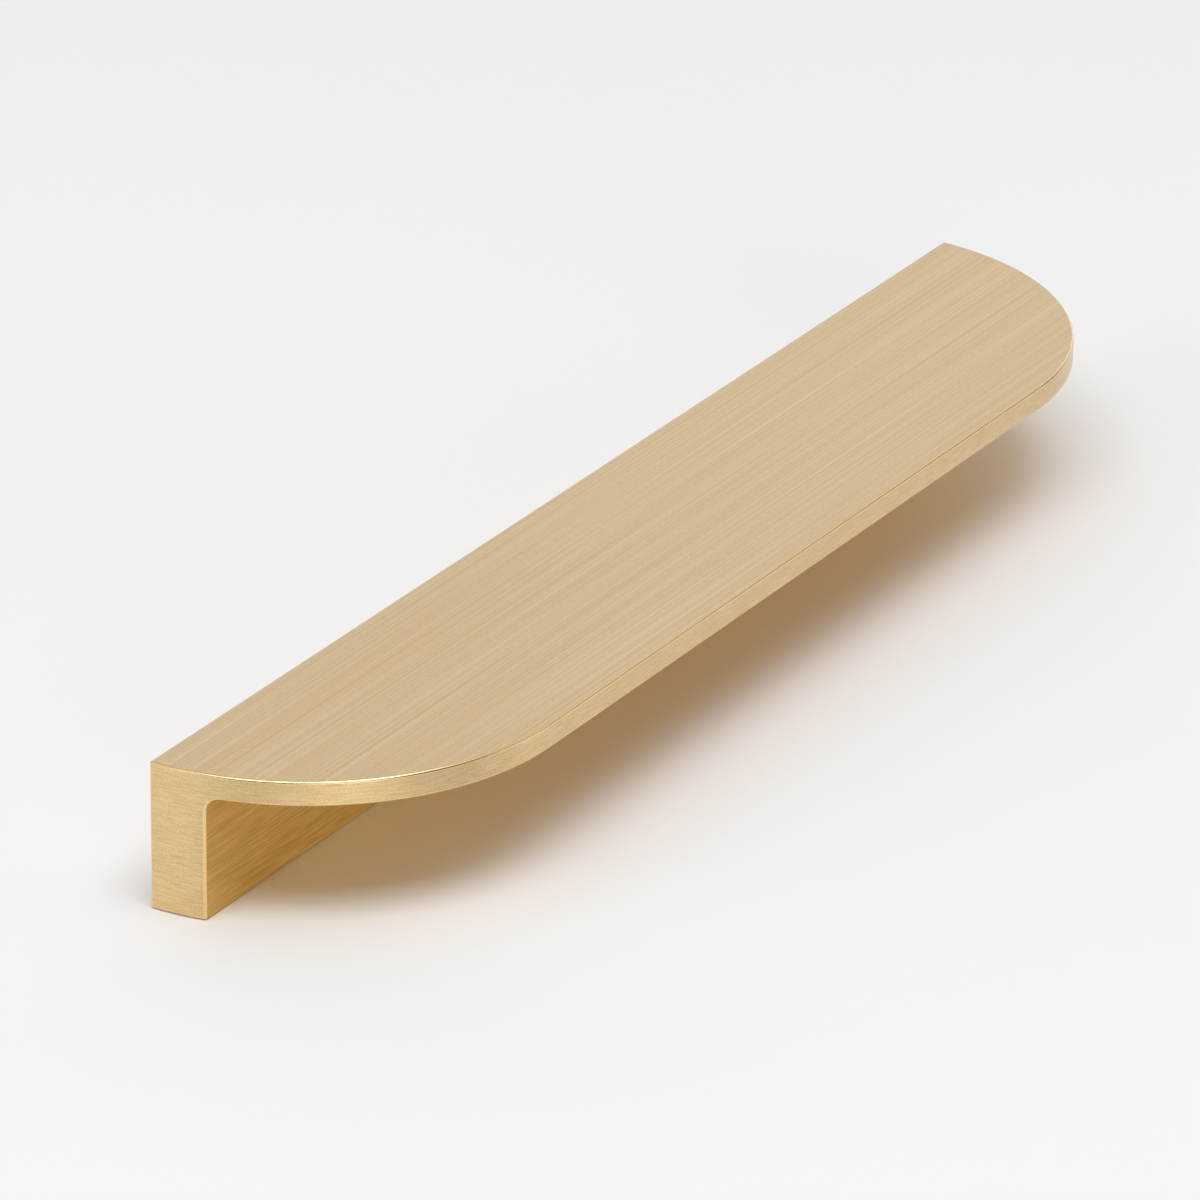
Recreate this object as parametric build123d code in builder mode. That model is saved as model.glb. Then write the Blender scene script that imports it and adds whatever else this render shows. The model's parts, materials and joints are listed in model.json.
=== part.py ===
from build123d import *
from math import radians, tan
import os

# Cabinet pull: one solid bar of brass with an L section and quarter-round ends.
# The leg's foot is screwed down on the door, and the broad flange stands off the door and
# parallel to it, so that fingers hook behind the flange.
# Sizes are in millimetres. The origin is on the foot, midway between the two screws:
# +X runs along the pull, -Y points to the flange's free edge and +Z away from the door.

# Section
LENGTH = 200.0  # end to end, along the back face
DEPTH = 37.0  # back face to the flange's free edge
HEIGHT = 21.0  # foot to top face
LEG_THICKNESS = 8.0
FLANGE_THICKNESS = 3.5
INNER_RADIUS = 2.0  # where the leg runs into the flange
EDGE_BREAK = 0.3  # rounding of every sharp edge

# Tapped holes in the foot, for M4 screws
SCREW_INSET = 20.0  # end of the pull to the screw's centre
TAP_DRILL = 3.3  # diameter before the thread is cut
TAP_DEPTH = 12.0  # full-diameter depth
DRILL_POINT_ANGLE = 118.0
MOUTH_DIAMETER = 4.3  # countersink that leads the screw in
MOUTH_ANGLE = 90.0

# Where the faces lie
back = LEG_THICKNESS / 2
inner = -LEG_THICKNESS / 2
front = back - DEPTH
underside = HEIGHT - FLANGE_THICKNESS
end_radius = DEPTH  # the ends are quarter circles that leave the back face square
screw_spacing = LENGTH - 2 * SCREW_INSET


# One hole as the drill and the countersink leave it, with its mouth on the foot
tap_radius = TAP_DRILL / 2
mouth_radius = MOUTH_DIAMETER / 2
mouth_depth = (mouth_radius - tap_radius) / tan(radians(MOUTH_ANGLE / 2))
drill_point = tap_radius / tan(radians(DRILL_POINT_ANGLE / 2))

with BuildPart() as tapped_hole:
    with BuildSketch(Plane.XZ):
        with BuildLine():
            Polyline(
                (0, 0),
                (mouth_radius, 0),
                (tap_radius, mouth_depth),
                (tap_radius, TAP_DEPTH),
                (0, TAP_DEPTH + drill_point),
                close=True,
            )
        make_face()
    revolve(axis=Axis.Z)


with BuildPart() as pull:
    # The bar's L section, drawn from its end and run along the whole length
    with BuildSketch(Plane.YZ.offset(-LENGTH / 2)):
        with BuildLine():
            Polyline(
                (back, 0),
                (back, HEIGHT),
                (front, HEIGHT),
                (front, underside),
                (inner, underside),
                (inner, 0),
                close=True,
            )
        section = make_face()
        inner_corner = section.vertices().sort_by_distance((inner, underside))[0]
        fillet(inner_corner, INNER_RADIUS)
    extrude(amount=LENGTH)

    # Seen from above it is half a slot: both ends of the leg and the flange follow one arc
    with BuildSketch():
        with Locations((0, back)):
            SlotOverall(LENGTH, 2 * end_radius)
    extrude(amount=HEIGHT, mode=Mode.INTERSECT)

    # Every edge is broken, but not the seams where one face runs smoothly into the next
    inner_fillet = pull.faces().filter_by(GeomType.CYLINDER).sort_by(Axis.X)[1]
    fillet_seams = inner_fillet.edges().filter_by(Axis.X)
    rim_seams = pull.edges().filter_by(Axis.Z).group_by(Axis.Y)[0]
    fillet(pull.edges() - fillet_seams - rim_seams, EDGE_BREAK)

    with GridLocations(screw_spacing, 0, 2, 1):
        add(tapped_hole.part, mode=Mode.SUBTRACT)

pull.part.label = "pull"

os.makedirs("parts", exist_ok=True)
export_step(pull.part, "parts/pull.step")
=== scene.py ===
"""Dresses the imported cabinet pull: one bar of solid brass, brushed along its length and lacquered.

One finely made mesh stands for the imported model's only node. It has the same L section and quarter-round
ends, with every edge broken, a thread in both screw holes and a map that lays the brush strokes on each face.
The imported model's frame holds: +X along the pull, -Y to the flange's free edge, +Z away from the door.
Meshes are worked in millimetres and finished in metres.
"""

import json
import logging
import math
from dataclasses import dataclass
from enum import Enum
from typing import Any

import bmesh
import bpy
from mathutils import Matrix, Vector

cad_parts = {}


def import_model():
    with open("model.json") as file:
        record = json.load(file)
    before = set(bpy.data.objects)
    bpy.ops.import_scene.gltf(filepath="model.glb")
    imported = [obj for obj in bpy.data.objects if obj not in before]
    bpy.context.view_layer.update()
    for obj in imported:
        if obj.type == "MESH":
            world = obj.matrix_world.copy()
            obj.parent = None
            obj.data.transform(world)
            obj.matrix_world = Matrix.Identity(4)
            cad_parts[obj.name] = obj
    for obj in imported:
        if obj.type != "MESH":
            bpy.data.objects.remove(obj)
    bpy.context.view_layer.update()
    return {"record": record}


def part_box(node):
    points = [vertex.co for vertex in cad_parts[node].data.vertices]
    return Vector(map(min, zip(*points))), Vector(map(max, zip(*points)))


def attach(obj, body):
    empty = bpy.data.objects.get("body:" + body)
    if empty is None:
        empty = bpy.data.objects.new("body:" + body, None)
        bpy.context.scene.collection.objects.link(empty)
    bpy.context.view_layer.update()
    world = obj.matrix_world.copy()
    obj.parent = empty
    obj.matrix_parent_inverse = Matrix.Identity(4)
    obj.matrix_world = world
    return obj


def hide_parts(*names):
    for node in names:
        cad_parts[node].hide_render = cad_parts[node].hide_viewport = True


LOG = logging.getLogger("cabinet_pull")
MM = 0.001
BRUSH_MAP = "brush"

NOISE_MEAN = 0.5
MIDDLE_TONE = 0.5

Colour = tuple[float, float, float, float]
Point = tuple[float, float, float]
FlatPoint = tuple[float, float]
Socket = bpy.types.NodeSocket
Input = Socket | float | int


class NodeGraph:
    """A node tree with short calls to add nodes and to join them."""

    def __init__(self, tree: bpy.types.NodeTree) -> None:
        """Takes over a shader or geometry tree and empties it."""
        self.tree = tree
        tree.nodes.clear()

    def add(self, kind: str, **settings: Any) -> bpy.types.Node:
        """Adds one node.

        Args:
            kind: The node's type name.
            **settings: Properties of the node to set.

        Returns:
            The new node.
        """
        node = self.tree.nodes.new(kind)
        for name, value in settings.items():
            setattr(node, name, value)
        return node

    def feed(self, socket: Socket, value: Input) -> None:
        """Joins an output to a socket, or sets the socket's own value.

        Args:
            socket: The input to feed.
            value: Another node's output, or a plain number.
        """
        if isinstance(value, Socket):
            self.tree.links.new(value, socket)
        else:
            socket.default_value = value

    def wire(self, node: bpy.types.Node, inputs: dict[str, Input]) -> None:
        """Feeds inputs of a node, by their names, with outputs of other nodes or with plain numbers."""
        for name, value in inputs.items():
            self.feed(node.inputs[name], value)

    def math(self, operation: str, *values: Input, clamp: bool = False) -> Socket:
        """Adds a math node.

        Args:
            operation: The node's operation.
            *values: Its inputs, in order.
            clamp: Whether the result is kept between 0 and 1.

        Returns:
            The result.
        """
        node = self.add("ShaderNodeMath", operation=operation, use_clamp=clamp)
        for socket, value in zip(node.inputs, values):
            self.feed(socket, value)
        return node.outputs[0]

    def vector(self, x: Input, y: Input, z: Input = 0.0) -> Socket:
        """Joins three numbers into a vector.

        Args:
            x: The first part.
            y: The second part.
            z: The third part.

        Returns:
            The vector.
        """
        node = self.add("ShaderNodeCombineXYZ")
        for socket, value in zip(node.inputs, (x, y, z)):
            self.feed(socket, value)
        return node.outputs[0]


@dataclass(frozen=True)
class BrushLayer:
    """One size of brush mark: how many fit in a stroke and in a hair of the brush map."""

    along: float
    across: float
    detail: float
    seed: float

    def draw(self, graph: NodeGraph, u: Socket, v: Socket) -> Socket:
        """Adds the noise of this layer.

        Args:
            graph: The material's tree.
            u: Place along the brush, in strokes.
            v: Place across the brush, in hairs.

        Returns:
            The layer's level, about 0 on the mean.
        """
        along = graph.math("MULTIPLY", u, self.along)
        across = graph.math("MULTIPLY", v, self.across)
        place = graph.vector(along, across, self.seed)
        noise = graph.add("ShaderNodeTexNoise", noise_dimensions="3D")
        graph.wire(noise, {"Vector": place, "Scale": 1.0, "Detail": self.detail})
        return graph.math("SUBTRACT", noise.outputs["Fac"], NOISE_MEAN)


@dataclass(frozen=True)
class BrushedBrass:
    """Satin brass under clear lacquer, with its brush marks in the colour, the gloss and the relief."""

    name: str = "brushed_brass"
    dark: Colour = (0.80, 0.553, 0.248, 1.0)
    bright: Colour = (0.94, 0.722, 0.425, 1.0)
    roughness: float = 0.52
    roughness_spread: float = 0.12
    anisotropy: float = 0.80
    across_brush: float = 0.25
    lacquer: float = 1.0
    lacquer_roughness: float = 0.30
    lacquer_ior: float = 1.5
    relief: float = 0.006 * MM
    band_share: float = 0.7
    streak_share: float = 1.9
    hair_share: float = 1.8
    scratch_share: float = -7.0
    scratch_floor: float = 0.12
    bands: BrushLayer = BrushLayer(along=0.5, across=0.12, detail=1.0, seed=3.0)
    streaks: BrushLayer = BrushLayer(along=1.0, across=1.0, detail=2.0, seed=11.0)
    hairs: BrushLayer = BrushLayer(along=9.0, across=1.8, detail=1.0, seed=29.0)
    scratches: BrushLayer = BrushLayer(along=0.8, across=1.5, detail=0.0, seed=47.0)

    def draw_marks(self, graph: NodeGraph, u: Socket, v: Socket, streaks: Socket) -> Socket:
        """Adds up the layers of brush marks.

        Args:
            graph: The material's tree.
            u: Place along the brush, in strokes.
            v: Place across the brush, in hairs.
            streaks: The level of the streaks.

        Returns:
            The tone, from 0 for the dark brass to 1 for the bright one.
        """
        cuts = graph.math("SUBTRACT", self.scratches.draw(graph, u, v), self.scratch_floor)
        layers = (
            (self.hairs.draw(graph, u, v), self.hair_share),
            (self.bands.draw(graph, u, v), self.band_share),
            (graph.math("MAXIMUM", cuts, 0.0), self.scratch_share),
        )
        marks = graph.math("MULTIPLY_ADD", streaks, self.streak_share, MIDDLE_TONE)
        for level, share in layers:
            marks = graph.math("MULTIPLY_ADD", level, share, marks)
        return marks

    def build(self) -> bpy.types.Material:
        """Makes the material.

        Returns:
            The brass.
        """
        material = bpy.data.materials.new(self.name)
        material.use_nodes = True
        material.diffuse_color = self.bright
        graph = NodeGraph(material.node_tree)
        place = graph.add("ShaderNodeUVMap", uv_map=BRUSH_MAP)
        split = graph.add("ShaderNodeSeparateXYZ")
        graph.feed(split.inputs[0], place.outputs["UV"])
        u, v = split.outputs["X"], split.outputs["Y"]
        streaks = self.streaks.draw(graph, u, v)
        marks = self.draw_marks(graph, u, v, streaks)

        tone = graph.add("ShaderNodeMix", data_type="RGBA")
        graph.feed(tone.inputs["Factor"], marks)
        tone.inputs["A"].default_value = self.dark
        tone.inputs["B"].default_value = self.bright
        gloss: Input = self.roughness
        if self.roughness_spread > 0.0:
            gloss = graph.math("MULTIPLY_ADD", streaks, self.roughness_spread, self.roughness)
        bump = graph.add("ShaderNodeBump")
        graph.wire(bump, {"Strength": 1.0, "Distance": self.relief, "Height": marks})
        tangent = graph.add("ShaderNodeTangent", direction_type="UV_MAP", uv_map=BRUSH_MAP)

        shader = graph.add("ShaderNodeBsdfPrincipled")
        inputs = {
            "Base Color": tone.outputs["Result"],
            "Metallic": 1.0,
            "Roughness": gloss,
            "Anisotropic": self.anisotropy,
            "Anisotropic Rotation": self.across_brush,
            "Tangent": tangent.outputs[0],
            "Coat Weight": self.lacquer,
            "Coat Roughness": self.lacquer_roughness,
            "Coat IOR": self.lacquer_ior,
            "Normal": bump.outputs[0],
            "Coat Normal": bump.outputs[0],
        }
        graph.wire(shader, inputs)
        output = graph.add("ShaderNodeOutputMaterial")
        graph.feed(output.inputs["Surface"], shader.outputs[0])
        return material


@dataclass(frozen=True)
class PaleFloor:
    """The matt white of the floor that the pull stands on."""

    name: str = "pale_floor"
    colour: Colour = (0.925, 0.93, 0.936, 1.0)

    def build(self) -> bpy.types.Material:
        """Makes the material.

        Returns:
            The floor's finish.
        """
        material = bpy.data.materials.new(self.name)
        material.use_nodes = True
        graph = NodeGraph(material.node_tree)
        shader = graph.add("ShaderNodeBsdfDiffuse")
        shader.inputs["Color"].default_value = self.colour
        output = graph.add("ShaderNodeOutputMaterial")
        graph.feed(output.inputs["Surface"], shader.outputs[0])
        return material


class Finish(Enum):
    """The finishes of the bar, in the order of its material slots."""

    FACE = BrushedBrass(
        name="brushed_brass_face",
        streak_share=2.3,
        hair_share=1.2,
        scratch_share=-15.0,
        streaks=BrushLayer(along=0.7, across=1.0, detail=2.0, seed=11.0),
        hairs=BrushLayer(along=45.0, across=1.6, detail=1.0, seed=29.0),
        scratches=BrushLayer(along=0.3, across=1.7, detail=0.0, seed=47.0),
    )
    RIM = BrushedBrass(
        name="brushed_brass_rim",
        dark=(0.76, 0.524, 0.228, 1.0),
        bright=(0.915, 0.695, 0.36, 1.0),
        hair_share=2.2,
    )
    EDGE = BrushedBrass(
        name="bright_brass_edge",
        dark=(0.88, 0.62, 0.275, 1.0),
        bright=(0.94, 0.685, 0.34, 1.0),
        roughness=0.24,
        roughness_spread=0.0,
        anisotropy=0.0,
        lacquer_roughness=0.2,
        relief=0.0002 * MM,
    )
    # Painted shade: the leg's inner face, the inner foot's broken edge and the threads get a darker, deeper
    # orange copy of the brass, standing in for the shade and warm bounce under the flange.
    INNER = BrushedBrass(
        name="brass_inner_painted_shade",
        dark=(0.76, 0.487, 0.105, 1.0),
        bright=(0.93, 0.675, 0.26, 1.0),
        roughness=0.6,
        lacquer=0.5,
        band_share=0.4,
        streak_share=1.8,
        hair_share=3.2,
        hairs=BrushLayer(along=4.0, across=1.4, detail=1.0, seed=29.0),
    )
    # Painted shade: the flange's underside gets a deeper orange copy of the brass, so that the light it
    # bounces gives the shadow on the floor beneath it a warmer tint.
    PAINTED_SHADE_UNDER = BrushedBrass(
        name="brass_under_painted_shade",
        dark=(0.93, 0.55, 0.08, 1.0),
        bright=(1.0, 0.70, 0.19, 1.0),
        roughness=0.42,
        anisotropy=0.40,
        lacquer=0.2,
    )

    @property
    def slot(self) -> int:
        """Place of the finish among the bar's material slots."""
        return list(Finish).index(self)


class Surface(Enum):
    """A surface of the bar: its stroke length in millimetres, its place in the brush map and its finish."""

    TOP = (45.0, 0.0, Finish.FACE)
    # The underside, the inner face and the threads below take the darker copies of the brass that carry
    # painted shade.
    UNDERSIDE = (55.0, 1000.0, Finish.PAINTED_SHADE_UNDER)
    FOOT = (55.0, 2000.0, Finish.FACE)
    BACK = (55.0, 3000.0, Finish.FACE)
    INNER = (28.0, 4000.0, Finish.INNER)
    RIM = (2.8, 5000.0, Finish.RIM)
    THREAD = (2.8, 6000.0, Finish.INNER)

    @property
    def stroke(self) -> float:
        """Length of one brush stroke."""
        return self.value[0]

    @property
    def offset(self) -> float:
        """Where the surface starts across the brush map, in hairs."""
        return self.value[1]

    @property
    def finish(self) -> Finish:
        """What the surface is dressed with, away from its edges."""
        return self.value[2]


@dataclass
class TappedHoles:
    """The row of threaded holes in the foot, as solids to cut away.

    Sizes are in millimetres, the drill's point angle in degrees, the run-out in turns of the thread, and the
    flat on its crests and roots as a share of the pitch.
    """

    spacing: float
    core_radius: float
    count: int = 2
    major_radius: float = 2.0
    pitch: float = 0.7
    depth: float = 12.0
    mouth_radius: float = 2.15
    point_angle: float = 118.0
    lead: float = 0.5
    sides: int = 40
    rows_per_turn: int = 8
    run_out: float = 2.0
    flat: float = 0.125
    weld: float = 1e-4

    @property
    def point_length(self) -> float:
        """Length of the cone that the drill leaves."""
        return self.core_radius / math.tan(math.radians(self.point_angle / 2))

    def centres(self) -> list[float]:
        """Places of the holes along the pull."""
        return [self.spacing * (i - (self.count - 1) / 2) for i in range(self.count)]

    def hold(self, point: Vector) -> bool:
        """Tells whether a point of the bar lies over the mouth of a hole."""
        return any(math.hypot(point.x - x, point.y) < self.mouth_radius for x in self.centres())

    def sizes(self) -> dict[str, float]:
        """Lists the sizes that the tree takes.

        Returns:
            Millimetres, by the name of the tree's input.
        """
        return {
            "Spacing": self.spacing,
            "Core Radius": self.core_radius,
            "Major Radius": self.major_radius,
            "Pitch": self.pitch,
            "Depth": self.depth,
            "Mouth Radius": self.mouth_radius,
            "Point Length": self.point_length,
            "Lead": self.lead,
        }

    def thread_wall(self, graph: NodeGraph, sizes: dict[str, Socket], turn: Socket, z: Socket) -> Socket:
        """Works out the threaded wall, whose grooves run out towards the bottom.

        Args:
            graph: The tree.
            sizes: The tree's inputs.
            turn: Place round the hole, in turns.
            z: Height over the foot.

        Returns:
            The wall's radius.
        """
        phase = graph.math("FRACT", graph.math("SUBTRACT", graph.math("DIVIDE", z, sizes["Pitch"]), turn))
        wave = graph.math("ABSOLUTE", graph.math("MULTIPLY_ADD", phase, 2.0, -1.0))
        flank = graph.math("SUBTRACT", wave, self.flat)
        groove = graph.math("DIVIDE", flank, 1.0 - 2.0 * self.flat, clamp=True)
        fade = graph.math("DIVIDE", graph.math("SUBTRACT", sizes["Depth"], z), sizes["Pitch"])
        fade = graph.math("DIVIDE", fade, self.run_out, clamp=True)
        height = graph.math("SUBTRACT", sizes["Major Radius"], sizes["Core Radius"])
        ridge = graph.math("MULTIPLY", graph.math("MULTIPLY", groove, fade), height)
        return graph.math("ADD", sizes["Core Radius"], ridge)

    def roll_tap(self, graph: NodeGraph, sizes: dict[str, Socket]) -> Socket:
        """Rolls a flat sheet into one tap: countersink, thread and the drill's point.

        Args:
            graph: The tree.
            sizes: The tree's inputs.

        Returns:
            The closed tap.
        """
        rows = math.ceil((self.depth + self.point_length + self.lead) / self.pitch) * self.rows_per_turn
        width = 1.0
        sheet = graph.add("GeometryNodeMeshGrid")
        spans = {
            "Size X": width,
            "Size Y": width,
            "Vertices X": self.sides + 1,
            "Vertices Y": rows + 1,
        }
        graph.wire(sheet, spans)
        place = graph.add("ShaderNodeSeparateXYZ")
        graph.feed(place.inputs[0], graph.add("GeometryNodeInputPosition").outputs[0])
        turn = graph.math("ADD", place.outputs["X"], width / 2)
        climb = graph.math("ADD", place.outputs["Y"], width / 2)

        reach = graph.math("ADD", sizes["Depth"], sizes["Point Length"])
        z = graph.math("MULTIPLY", climb, graph.math("ADD", reach, sizes["Lead"]))
        z = graph.math("SUBTRACT", z, sizes["Lead"])
        cone = graph.math("DIVIDE", graph.math("SUBTRACT", reach, z), sizes["Point Length"])
        cone = graph.math("MAXIMUM", graph.math("MULTIPLY", cone, sizes["Core Radius"]), 0.0)
        wall = graph.math("MINIMUM", self.thread_wall(graph, sizes, turn, z), cone)
        mouth = graph.math("SUBTRACT", sizes["Mouth Radius"], graph.math("MAXIMUM", z, 0.0))
        radius = graph.math("MAXIMUM", wall, mouth)
        half_row = width / rows / 2
        radius = graph.math("MULTIPLY", radius, graph.math("GREATER_THAN", climb, half_row))
        angle = graph.math("MULTIPLY", turn, math.tau)
        x = graph.math("MULTIPLY", radius, graph.math("COSINE", angle))
        y = graph.math("MULTIPLY", radius, graph.math("SINE", angle))
        rolled = graph.add("GeometryNodeSetPosition")
        graph.wire(rolled, {"Geometry": sheet.outputs["Mesh"], "Position": graph.vector(x, y, z)})
        closed = graph.add("GeometryNodeMergeByDistance")
        graph.wire(closed, {"Geometry": rolled.outputs[0], "Distance": self.weld})
        return closed.outputs[0]

    def repeat_tap(self, graph: NodeGraph, sizes: dict[str, Socket], tap: Socket) -> Socket:
        """Sets copies of the tap along the foot and dresses them.

        Args:
            graph: The tree.
            sizes: The tree's inputs.
            tap: The tap to repeat.

        Returns:
            All taps, as one real mesh.
        """
        line = graph.add("GeometryNodeMeshLine")
        start = graph.math("MULTIPLY", sizes["Spacing"], -(self.count - 1) / 2)
        steps = {
            "Count": self.count,
            "Start Location": graph.vector(start, 0.0),
            "Offset": graph.vector(sizes["Spacing"], 0.0),
        }
        graph.wire(line, steps)
        copies = graph.add("GeometryNodeInstanceOnPoints")
        graph.wire(copies, {"Points": line.outputs["Mesh"], "Instance": tap})
        real = graph.add("GeometryNodeRealizeInstances")
        graph.feed(real.inputs[0], copies.outputs[0])
        dressed = graph.add("GeometryNodeSetMaterial")
        graph.wire(dressed, {"Geometry": real.outputs[0], "Material": sizes["Material"]})
        return dressed.outputs[0]

    def build_tree(self) -> bpy.types.GeometryNodeTree:
        """Makes the tree that turns one tap and repeats it along the foot.

        Returns:
            The tree, with its sizes as named inputs.
        """
        tree = bpy.data.node_groups.new("tapped_holes", "GeometryNodeTree")
        graph = NodeGraph(tree)
        tree.interface.new_socket("Geometry", in_out="OUTPUT", socket_type="NodeSocketGeometry")
        for name in self.sizes():
            tree.interface.new_socket(name, in_out="INPUT", socket_type="NodeSocketFloat")
        tree.interface.new_socket("Material", in_out="INPUT", socket_type="NodeSocketMaterial")
        sizes = {socket.name: socket for socket in graph.add("NodeGroupInput").outputs}
        taps = self.repeat_tap(graph, sizes, self.roll_tap(graph, sizes))
        graph.feed(graph.add("NodeGroupOutput").inputs[0], taps)
        return tree

    def build(self, material: bpy.types.Material) -> bpy.types.Object:
        """Runs the tree and keeps its result as a plain mesh.

        Args:
            material: The finish of the threads.

        Returns:
            The closed solids to cut away.
        """
        tree = self.build_tree()
        holder = bpy.data.objects.new("tap_tree", bpy.data.meshes.new("tap_tree"))
        bpy.context.scene.collection.objects.link(holder)
        modifier = holder.modifiers.new("tapped_holes", "NODES")
        modifier.node_group = tree
        values = {**self.sizes(), "Material": material}
        for item in tree.interface.items_tree:
            if item.in_out == "INPUT":
                modifier[item.identifier] = values[item.name]
        mesh = evaluated_mesh(holder)
        bpy.data.objects.remove(holder)
        taps = bpy.data.objects.new("taps", mesh)
        bpy.context.scene.collection.objects.link(taps)
        return taps


def evaluated_mesh(obj: bpy.types.Object) -> bpy.types.Mesh:
    """Gives an object's mesh with its modifiers applied.

    Args:
        obj: The object to read.

    Returns:
        A new plain mesh.
    """
    graph = bpy.context.evaluated_depsgraph_get()
    graph.update()
    return bpy.data.meshes.new_from_object(obj.evaluated_get(graph), depsgraph=graph)


def settle(obj: bpy.types.Object) -> None:
    """Turns an object's modifiers into its own mesh.

    Args:
        obj: The object to change.
    """
    mesh = evaluated_mesh(obj)
    obj.modifiers.clear()
    obj.data = mesh


@dataclass
class PullBody:
    """The brass bar itself.

    Sizes are in millimetres and angles in degrees. A slope or turn is a part of a face's unit normal, past
    which the face counts to another surface, and the rim's margin is a multiple of the edge break.
    """

    length: float
    depth: float
    height: float
    back: float
    holes: TappedHoles
    leg: float = 8.0
    flange: float = 3.5
    inner_radius: float = 2.0
    edge_break: float = 0.3
    edge_roundness: float = 0.4
    hair: float = 0.26
    leg_steps: int = 6
    fillet_steps: int = 12
    arc_steps: int = 48
    cross_steps: int = 6
    edge_steps: int = 4
    face_weight: int = 100
    corner_angle: float = 35.0
    crease_angle: float = 40.0
    broken_angle: float = 8.0
    level_slope: float = 0.99
    thread_slope: float = 0.999
    back_slope: float = 0.1
    back_turn: float = 0.3
    rim_margin: float = 1.2

    @property
    def inner(self) -> float:
        """Place of the leg's inner face."""
        return self.back - self.leg

    @property
    def underside(self) -> float:
        """Height of the flange's underside."""
        return self.height - self.flange

    def run_to(self, y: float) -> float:
        """Length of arc from the back corner to a place on the quarter-round end."""
        return self.depth * math.asin(min(1.0, (self.back - y) / self.depth))

    def end_point(self, run: float, z: float, side: int) -> Point:
        """Wraps a point of the flat end pattern round the quarter circle.

        Args:
            run: Distance along the outline from the back corner.
            z: Height over the foot.
            side: -1 for the near end and 1 for the far end.

        Returns:
            The point in space.
        """
        angle = run / self.depth
        x = self.length / 2 - self.depth + self.depth * math.cos(angle)
        return (side * x, self.back - self.depth * math.sin(angle), z)

    def end_pattern(self) -> list[tuple[FlatPoint, FlatPoint]]:
        """Lays out an end's inner and outer edge, flat, from the foot round to the front.

        Returns:
            Pairs of inner and outer points, each as run and height.
        """
        root = self.underside - self.inner_radius
        pairs = []
        for i in range(self.leg_steps):
            z = root * i / self.leg_steps
            pairs.append(((self.run_to(self.inner), z), (0.0, z)))
        last_run = self.run_to(self.inner - self.inner_radius)
        half = self.fillet_steps // 2
        for i in range(self.fillet_steps + 1):
            turn = math.radians(90.0 * i / self.fillet_steps)
            y = self.inner - self.inner_radius * (1.0 - math.cos(turn))
            z = root + self.inner_radius * math.sin(turn)
            if i <= half:
                outer = (0.0, root + (self.height - root) * i / half)
            else:
                outer = (last_run * (i - half) / half, self.height)
            pairs.append(((self.run_to(y), z), outer))
        full_run = self.run_to(self.back - self.depth)
        for i in range(1, self.arc_steps + 1):
            run = last_run + (full_run - last_run) * i / self.arc_steps
            pairs.append(((run, self.underside), (run, self.height)))
        return pairs

    def add_end(self, bm: bmesh.types.BMesh, side: int) -> list[list[bmesh.types.BMVert]]:
        """Adds the curved face of one end.

        Args:
            bm: The bar that is being built.
            side: -1 for the near end and 1 for the far end.

        Returns:
            Its points in rows, each from the inner edge to the outer one.
        """
        grid = []
        for inner, outer in self.end_pattern():
            row = []
            for i in range(self.cross_steps + 1):
                share = i / self.cross_steps
                run = inner[0] + (outer[0] - inner[0]) * share
                z = inner[1] + (outer[1] - inner[1]) * share
                row.append(bm.verts.new(self.end_point(run, z, side)))
            grid.append(row)
        for low, high in zip(grid, grid[1:]):
            for i in range(self.cross_steps):
                bm.faces.new((low[i], low[i + 1], high[i + 1], high[i]))
        return grid

    def build_blank(self) -> bpy.types.Object:
        """Makes the sharp-edged bar.

        Returns:
            The bar as a closed mesh.
        """
        corner = self.leg_steps + self.fillet_steps // 2
        fillet_end = self.leg_steps + self.fillet_steps
        bm = bmesh.new()
        near = self.add_end(bm, -1)
        far = self.add_end(bm, 1)
        outer_near = [row[-1] for row in near]
        outer_far = [row[-1] for row in far]
        inner_near = [row[0] for row in near]
        inner_far = [row[0] for row in far]
        bm.faces.new(near[0] + far[0][::-1])
        bm.faces.new(outer_near[: corner + 1] + outer_far[corner::-1])
        bm.faces.new(outer_near[corner:] + outer_far[: corner - 1 : -1])
        bm.faces.new(inner_near[fillet_end:] + inner_far[: fillet_end - 1 : -1])
        for i in range(fillet_end):
            bm.faces.new((inner_near[i], inner_near[i + 1], inner_far[i + 1], inner_far[i]))
        for i in range(self.cross_steps):
            bm.faces.new((near[-1][i], near[-1][i + 1], far[-1][i + 1], far[-1][i]))
        bmesh.ops.recalc_face_normals(bm, faces=bm.faces)
        mesh = bpy.data.meshes.new("pull_body")
        bm.to_mesh(mesh)
        bm.free()
        body = bpy.data.objects.new("pull_body", mesh)
        bpy.context.scene.collection.objects.link(body)
        return body

    def break_edges(self, body: bpy.types.Object) -> None:
        """Rounds every sharp edge of the bar.

        Args:
            body: The sharp-edged bar.
        """
        bevel = body.modifiers.new("edge_break", "BEVEL")
        bevel.width = self.edge_break
        bevel.segments = self.edge_steps
        bevel.profile = self.edge_roundness
        bevel.limit_method = "ANGLE"
        bevel.angle_limit = math.radians(self.corner_angle)
        bevel.use_clamp_overlap = False
        bevel.miter_outer = "MITER_SHARP"
        settle(body)

    def cut_holes(self, body: bpy.types.Object, material: bpy.types.Material) -> None:
        """Cuts the tapped holes into the foot.

        Args:
            body: The bar.
            material: The finish of the threads.
        """
        taps = self.holes.build(material)
        cut = body.modifiers.new("tapped_holes", "BOOLEAN")
        cut.operation = "DIFFERENCE"
        cut.solver = "EXACT"
        cut.object = taps
        settle(body)
        bpy.data.objects.remove(taps)

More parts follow.
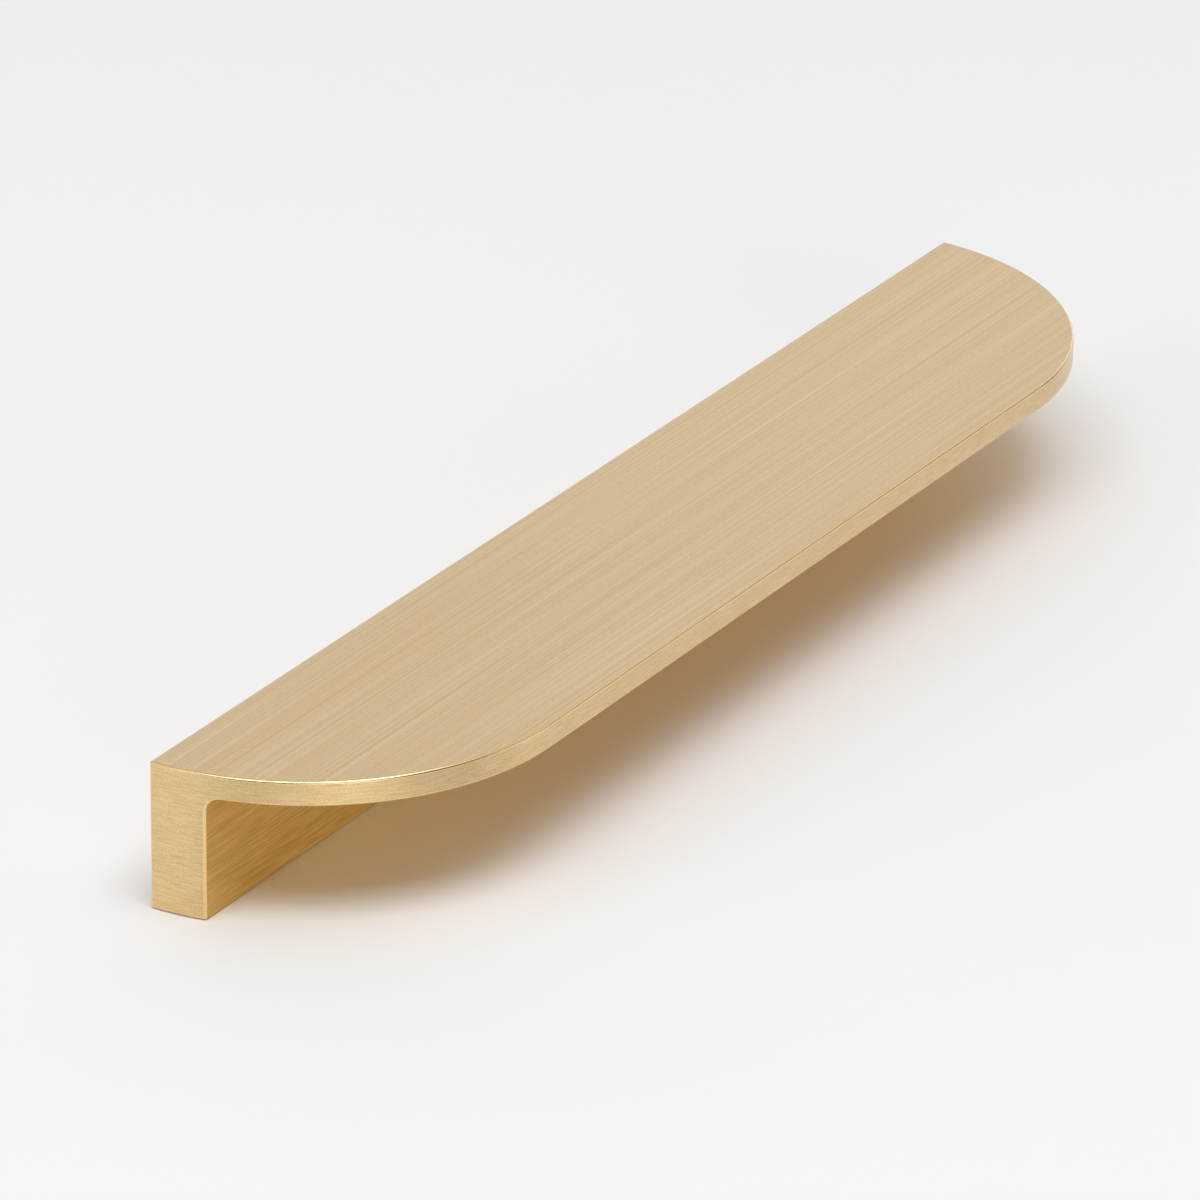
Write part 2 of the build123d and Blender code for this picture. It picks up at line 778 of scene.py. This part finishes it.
    def smooth(self, body: bpy.types.Object) -> None:
        """Shades the rounded edges smoothly and leaves the broad faces flat.

        Args:
            body: The bar.
        """
        mesh = body.data
        mesh.shade_smooth()
        mesh.set_sharp_from_angle(angle=math.radians(self.crease_angle))
        weighted = body.modifiers.new("flat_faces", "WEIGHTED_NORMAL")
        weighted.mode = "FACE_AREA"
        weighted.weight = self.face_weight
        weighted.keep_sharp = True
        settle(body)

    def face_kind(self, centre: Vector, normal: Vector) -> Surface:
        """Names the surface that a small face of the bar belongs to.

        Args:
            centre: The face's middle.
            normal: Its outward direction.

        Returns:
            The surface.
        """
        in_leg = centre.z < self.underside
        if in_leg and self.holes.hold(centre) and abs(normal.z) < self.thread_slope:
            return Surface.THREAD
        if normal.z > self.level_slope:
            return Surface.TOP
        if normal.z < -self.level_slope:
            return Surface.UNDERSIDE if centre.z > self.edge_break else Surface.FOOT
        if normal.y > self.back_slope and abs(normal.x) < self.back_turn:
            return Surface.BACK
        if self.outward(centre).length > self.depth - self.rim_margin * self.edge_break:
            return Surface.RIM
        return Surface.INNER

    def outward(self, point: Vector) -> Vector:
        """The level way from the middle of an end's arc, or from the back face, out to a point."""
        beyond = max(0.0, abs(point.x) - (self.length / 2 - self.depth))
        return Vector((math.copysign(beyond, point.x), point.y - self.back, 0.0))

    def finish_of(self, kind: Surface, centre: Vector, normal: Vector) -> Finish:
        """Tells the finish of a small face, which is bright where an edge of the back or the rim is broken.

        Args:
            kind: The surface that the face is counted to.
            centre: The face's middle.
            normal: Its outward direction.

        Returns:
            The finish.
        """
        flat = math.cos(math.radians(self.broken_angle))
        if kind is Surface.BACK and normal.y < flat:
            return Finish.EDGE
        if kind is Surface.RIM and normal.dot(self.outward(centre).normalized()) < flat:
            return Finish.EDGE
        return kind.finish

    def brush_point(self, kind: Surface, point: Vector) -> FlatPoint:
        """Gives a point's place in the brush map.

        Args:
            kind: The surface that the point is on.
            point: The point.

        Returns:
            Distance along the brush and distance across it.
        """
        if kind in (Surface.TOP, Surface.UNDERSIDE, Surface.FOOT):
            return point.x, point.y
        if kind is Surface.BACK:
            return point.x, point.z + point.y
        if kind is Surface.INNER:
            return point.x, point.z - point.y
        if kind is Surface.THREAD:
            return point.x + point.y, point.z
        outward = self.outward(point)
        turn = math.atan2(abs(outward.x), -outward.y)
        run = abs(point.x) - abs(outward.x) + self.depth * turn
        inset = self.depth - outward.length
        return math.copysign(run, point.x), point.z + inset

    def lay_brush_map(self, body: bpy.types.Object) -> None:
        """Unwraps the bar so that every brush stroke runs along its face.

        Args:
            body: The bar.
        """
        mesh = body.data
        layer = mesh.uv_layers.get(BRUSH_MAP) or mesh.uv_layers.new(name=BRUSH_MAP)
        for polygon in mesh.polygons:
            kind = self.face_kind(polygon.center, polygon.normal)
            polygon.material_index = self.finish_of(kind, polygon.center, polygon.normal).slot
            for loop in polygon.loop_indices:
                point = mesh.vertices[mesh.loops[loop].vertex_index].co
                along, across = self.brush_point(kind, point)
                layer.uv[loop].vector = (along / kind.stroke, across / self.hair + kind.offset)

    def build(self) -> bpy.types.Object:
        """Makes the finished bar and dresses it.

        Returns:
            The bar, in metres.
        """
        finishes = [finish.value.build() for finish in Finish]
        body = self.build_blank()
        self.break_edges(body)
        self.cut_holes(body, finishes[Surface.THREAD.finish.slot])
        body.data.materials.clear()
        for material in finishes:
            body.data.materials.append(material)
        self.lay_brush_map(body)
        self.smooth(body)
        body.data.transform(Matrix.Scale(MM, 4))
        return body


@dataclass(frozen=True)
class Glow:
    """A pale patch of the surround with a soft edge: where it lies and how far it reaches, in degrees."""

    azimuth: float
    elevation: float
    reach: float
    level: float

    def draw(self, graph: NodeGraph, ray: Socket) -> Socket:
        """Adds the patch to the world.

        Args:
            graph: The world's tree.
            ray: The direction that the light comes from.

        Returns:
            The patch's light.
        """
        turn = math.radians(self.azimuth)
        rise = math.radians(self.elevation)
        facing = graph.add("ShaderNodeVectorMath", operation="DOT_PRODUCT")
        graph.feed(facing.inputs[0], ray)
        facing.inputs[1].default_value = (
            math.cos(turn) * math.cos(rise),
            math.sin(turn) * math.cos(rise),
            math.sin(rise),
        )
        fade = graph.add("ShaderNodeMapRange", interpolation_type="SMOOTHSTEP")
        inputs = {
            "Value": facing.outputs["Value"],
            "From Min": math.cos(math.radians(self.reach)),
            "From Max": 1.0,
            "To Min": 0.0,
            "To Max": self.level,
        }
        graph.wire(fade, inputs)
        return fade.outputs["Result"]


@dataclass
class Studio:
    """A plain white floor under one large soft light, in a dark room with pale patches of light around it."""

    floor_size: float = 40.0
    floor_drop: float = 0.06 * MM
    light_direction: Point = (-0.33, -0.18, 0.926)
    light_run: Point = (1.0, -1.0, 0.0)
    light_distance: float = 2.0
    light_length: float = 1.8
    light_width: float = 0.9
    light_power: float = 19.8
    glows: tuple[Glow, ...] = (
        Glow(azimuth=25.0, elevation=25.0, reach=45.0, level=0.63),
        Glow(azimuth=60.0, elevation=5.0, reach=35.0, level=0.85),
        Glow(azimuth=10.0, elevation=5.0, reach=35.0, level=0.5),
        Glow(azimuth=75.0, elevation=58.0, reach=28.0, level=0.6),
        Glow(azimuth=147.0, elevation=8.0, reach=40.0, level=1.42),
        Glow(azimuth=142.0, elevation=53.0, reach=20.0, level=0.9),
        Glow(azimuth=228.0, elevation=10.0, reach=26.0, level=2.3),
        Glow(azimuth=285.0, elevation=75.0, reach=25.0, level=1.15),
        Glow(azimuth=305.0, elevation=3.0, reach=28.0, level=1.35),
        Glow(azimuth=315.0, elevation=60.0, reach=40.0, level=0.65),
        Glow(azimuth=345.0, elevation=30.0, reach=25.0, level=0.4),
    )

    def build_floor(self) -> bpy.types.Object:
        """Makes the floor and sets it apart from the pull.

        Returns:
            The floor.
        """
        half = self.floor_size / 2
        corners = [(-half, -half), (half, -half), (half, half), (-half, half)]
        mesh = bpy.data.meshes.new("floor")
        mesh.from_pydata([(x, y, -self.floor_drop) for x, y in corners], [], [(0, 1, 2, 3)])
        floor = bpy.data.objects.new("floor", mesh)
        floor.data.materials.append(PaleFloor().build())
        bpy.context.scene.collection.objects.link(floor)
        return floor

    def build_light(self) -> bpy.types.Object:
        """Hangs the soft light over the pull.

        Returns:
            The light.
        """
        data = bpy.data.lights.new("softbox", "AREA")
        data.shape = "RECTANGLE"
        data.size = self.light_length
        data.size_y = self.light_width
        data.energy = self.light_power
        light = bpy.data.objects.new("softbox", data)
        direction = Vector(self.light_direction).normalized()
        across = direction.cross(Vector(self.light_run)).normalized()
        light.location = direction * self.light_distance
        light.rotation_euler = Matrix((across.cross(direction), across, direction)).transposed().to_euler()
        bpy.context.scene.collection.objects.link(light)
        return light

    def build_world(self) -> bpy.types.World:
        """Makes the surround: a dark room with the pale patches in it.

        Returns:
            The world.
        """
        world = bpy.data.worlds.new("surround")
        world.use_nodes = True
        graph = NodeGraph(world.node_tree)
        ray = graph.add("ShaderNodeTexCoord").outputs["Generated"]
        level = self.glows[0].draw(graph, ray)
        for glow in self.glows[1:]:
            level = graph.math("ADD", level, glow.draw(graph, ray))
        background = graph.add("ShaderNodeBackground")
        background.inputs["Color"].default_value = (1.0, 1.0, 1.0, 1.0)
        graph.feed(background.inputs["Strength"], level)
        output = graph.add("ShaderNodeOutputWorld")
        graph.feed(output.inputs["Surface"], background.outputs[0])
        bpy.context.scene.world = world
        return world

    def build(self) -> None:
        """Sets up the floor, the light and the surround."""
        self.build_floor()
        self.build_light()
        self.build_world()
        bpy.context.scene.view_settings.view_transform = "Standard"


@dataclass
class PhotoCamera:
    """The long lens that sees the pull from its near end: metres, degrees and, for the lens, millimetres."""

    azimuth: float = -58.02
    elevation: float = 25.49
    roll: float = 0.58
    aim: Point = (0.0021, 0.0003, 0.0040)
    distance: float = 1.293
    lens: float = 285.1
    sensor: float = 36.0

    def build(self) -> bpy.types.Object:
        """Places the camera and makes it the scene's own.

        Returns:
            The camera.
        """
        data = bpy.data.cameras.new("photo_camera")
        data.sensor_width = self.sensor
        data.lens = self.lens
        camera = bpy.data.objects.new("photo_camera", data)
        azimuth = math.radians(self.azimuth)
        elevation = math.radians(self.elevation)
        level = math.cos(elevation)
        back = Vector((math.sin(azimuth) * level, -math.cos(azimuth) * level, math.sin(elevation)))
        turn = back.to_track_quat("Z", "Y").to_matrix() @ Matrix.Rotation(math.radians(self.roll), 3, "Z")
        camera.location = Vector(self.aim) + back * self.distance
        camera.rotation_euler = turn.to_euler()
        bpy.context.scene.collection.objects.link(camera)
        bpy.context.scene.camera = camera
        return camera


def bar_from_frame(frame: dict[str, Any]) -> PullBody:
    """Takes the bar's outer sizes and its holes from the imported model.


    Returns:
        The bar, ready to build.
    """
    low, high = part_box("pull")
    pattern = next(m for m in frame["record"]["mounts"] if m["name"] == "screw_holes")
    holes = TappedHoles(spacing=pattern["dims"]["spacing_x_mm"], core_radius=pattern["dims"]["hole_r_mm"])
    return PullBody(
        length=(high.x - low.x) / MM,
        depth=(high.y - low.y) / MM,
        height=high.z / MM,
        back=high.y / MM,
        holes=holes,
    )


def main() -> None:
    """Builds the pull, the studio and the camera."""
    logging.basicConfig(level=logging.INFO, format="%(name)s: %(message)s")
    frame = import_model()
    body = bar_from_frame(frame).build()
    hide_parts("pull")
    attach(body, "root")
    LOG.info("%s: %d faces", body.name, len(body.data.polygons))
    Studio().build()
    PhotoCamera().build()


if __name__ == "__main__":
    main()
